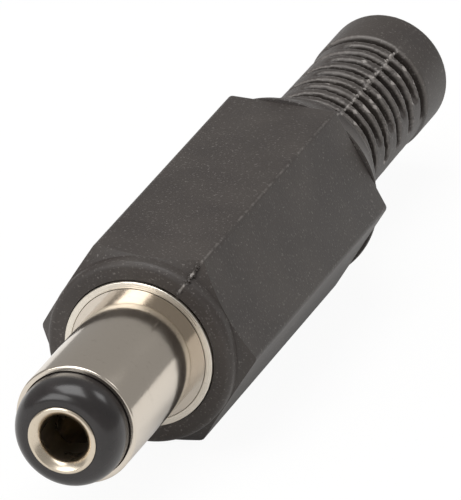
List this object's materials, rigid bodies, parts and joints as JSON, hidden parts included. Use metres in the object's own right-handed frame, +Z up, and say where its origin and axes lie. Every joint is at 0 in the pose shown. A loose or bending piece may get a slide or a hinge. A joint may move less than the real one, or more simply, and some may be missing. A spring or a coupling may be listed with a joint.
{
  "type": "dc barrel plug",
  "caption": "Coaxial DC power plug with a hexagonal screw-on cover and a slotted strain relief, lying on one flat of its hexagon.",
  "frame": {"origin": "bottom centre of the plug as it lies on one flat of its hexagon", "axes": "+Z up, the plug's axis along Y with the mating end towards -Y and the strain relief towards +Y"},
  "size_m": [0.01, 0.041, 0.009],
  "materials": {
    "cover_plastic": "moulded, fine matt grain",
    "nickel_plate": "bright nickel plate on turned brass",
    "insulator_plastic": "glossy moulded",
    "contact_plate": "warm nickel plate",
    "washer_plastic": "punched laminate",
    "tag_plate": "tinned brass sheet"
  },
  "bodies": {
    "cover": {"cover": "cover_plastic"},
    "plug_core": {"ferrule": "nickel_plate", "barrel": "nickel_plate", "insulator": "insulator_plastic", "contact": "contact_plate", "rear_insulator": "washer_plastic", "centre_tag": "tag_plate", "sleeve_tag": "tag_plate"}
  },
  "joints": [
    {"name": "core_unscrew", "type": "slide", "parent": "cover", "child": "plug_core", "axis": [0, -1, 0], "range_m": [0, 0.017]}
  ]
}
